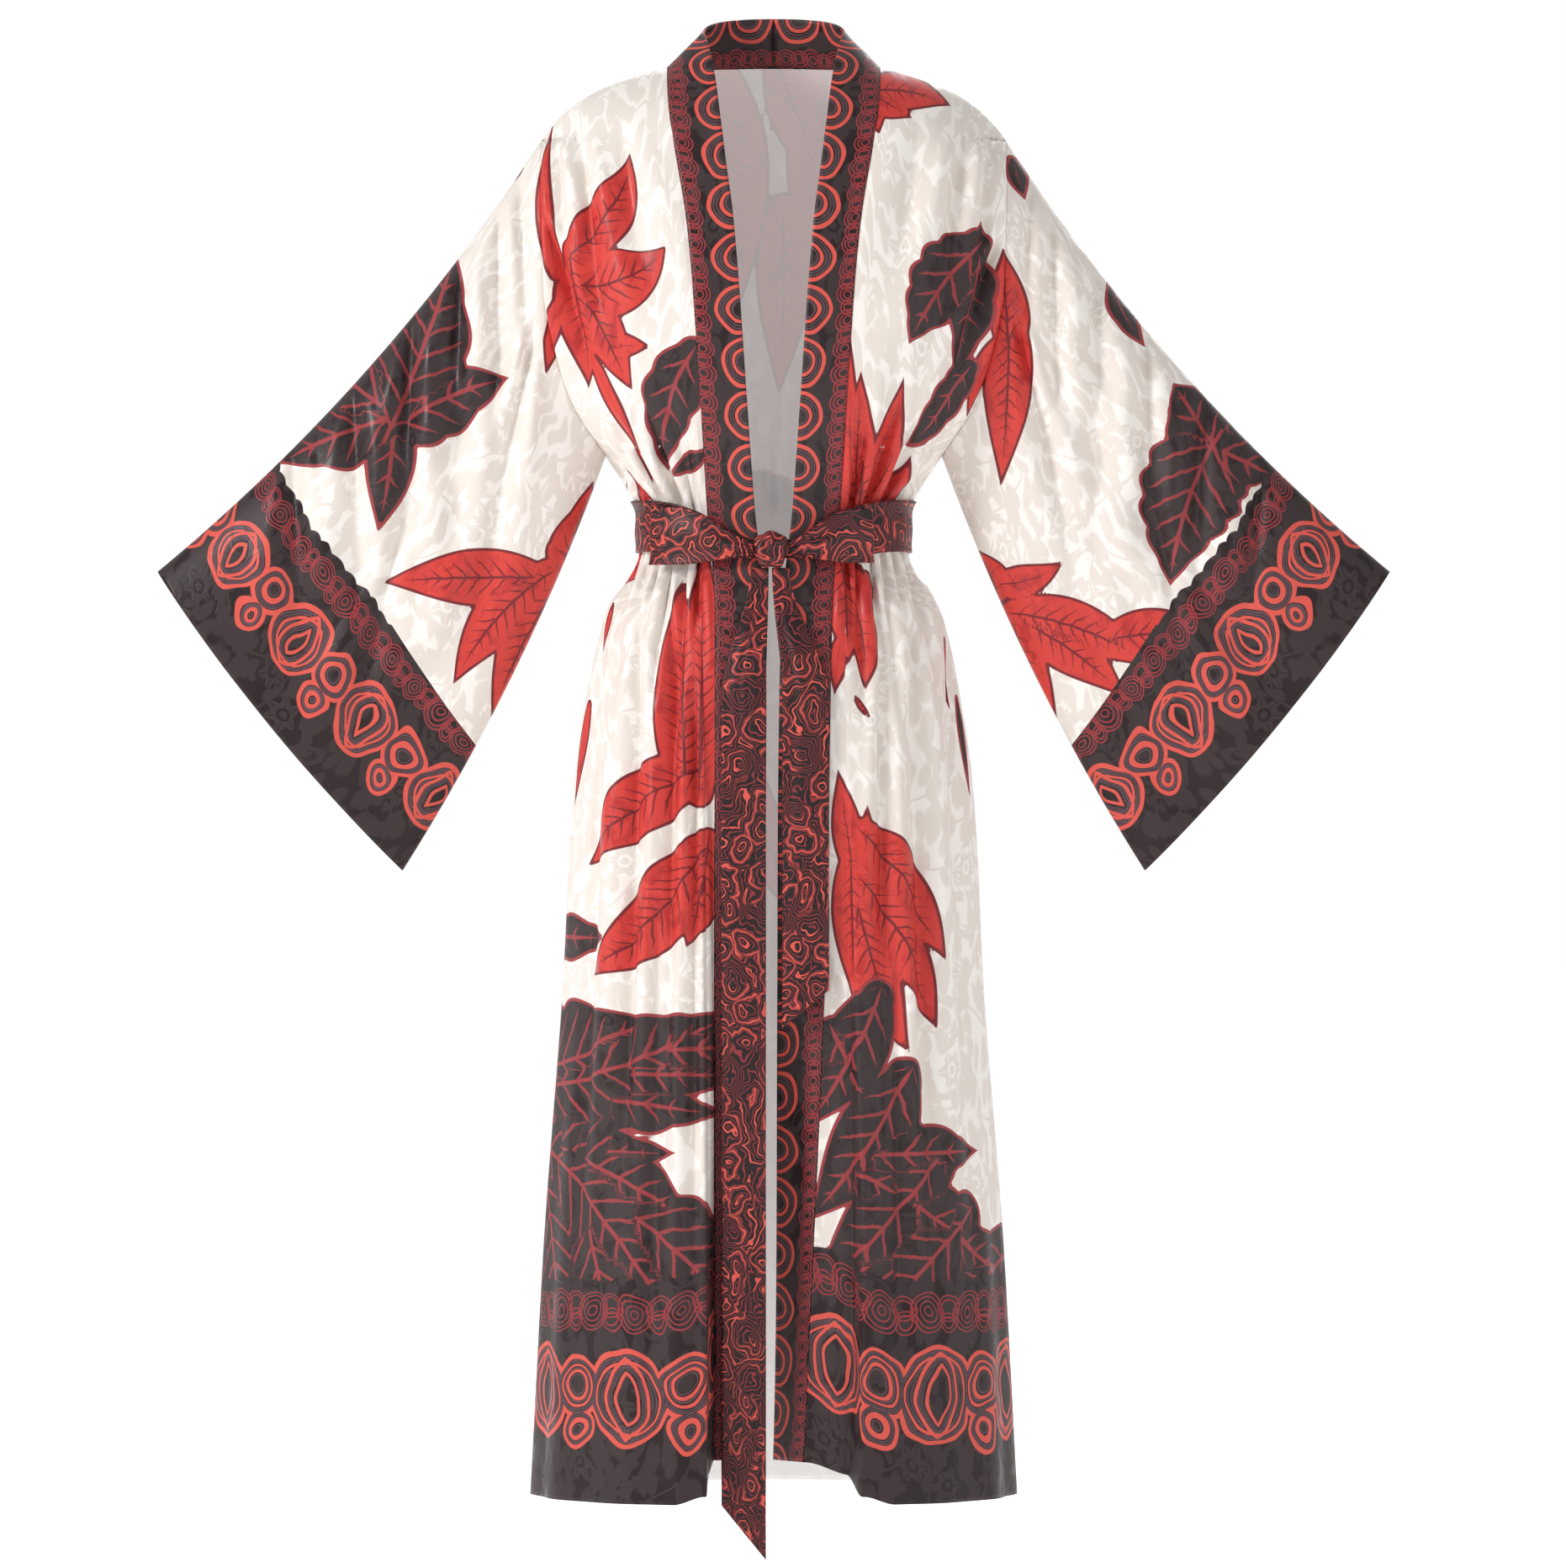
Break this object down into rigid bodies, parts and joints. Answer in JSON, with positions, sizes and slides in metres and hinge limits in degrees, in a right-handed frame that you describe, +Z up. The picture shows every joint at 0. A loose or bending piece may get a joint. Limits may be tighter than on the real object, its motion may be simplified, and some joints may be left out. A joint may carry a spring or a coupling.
{
  "type": "satin kimono robe",
  "caption": "Long satin wrap robe with wide sleeves, a neckband down both fronts, printed leaves, dark borders and a tied sash.",
  "frame": {"origin": "where the wearer's shoulders hold the robe: midway between the two neck points", "axes": "+Z up, -Y the way the wearer faces, +X the wearer's left"},
  "size_m": [1.128, 0.3325, 1.4062],
  "materials": {
    "satin": "printed ivory satin damask",
    "band": "printed dark satin",
    "sash": "printed dark satin"
  },
  "bodies": {
    "root": {"back": "satin", "front_left": "satin", "front_right": "satin", "sleeve_left": "satin", "sleeve_right": "satin", "neckband_left": "band", "neckband_right": "band", "sash": "sash", "knot": "sash", "bow_loop_left": "sash", "bow_loop_right": "sash", "tail_left": "sash", "tail_right": "sash"}
  },
  "joints": []
}
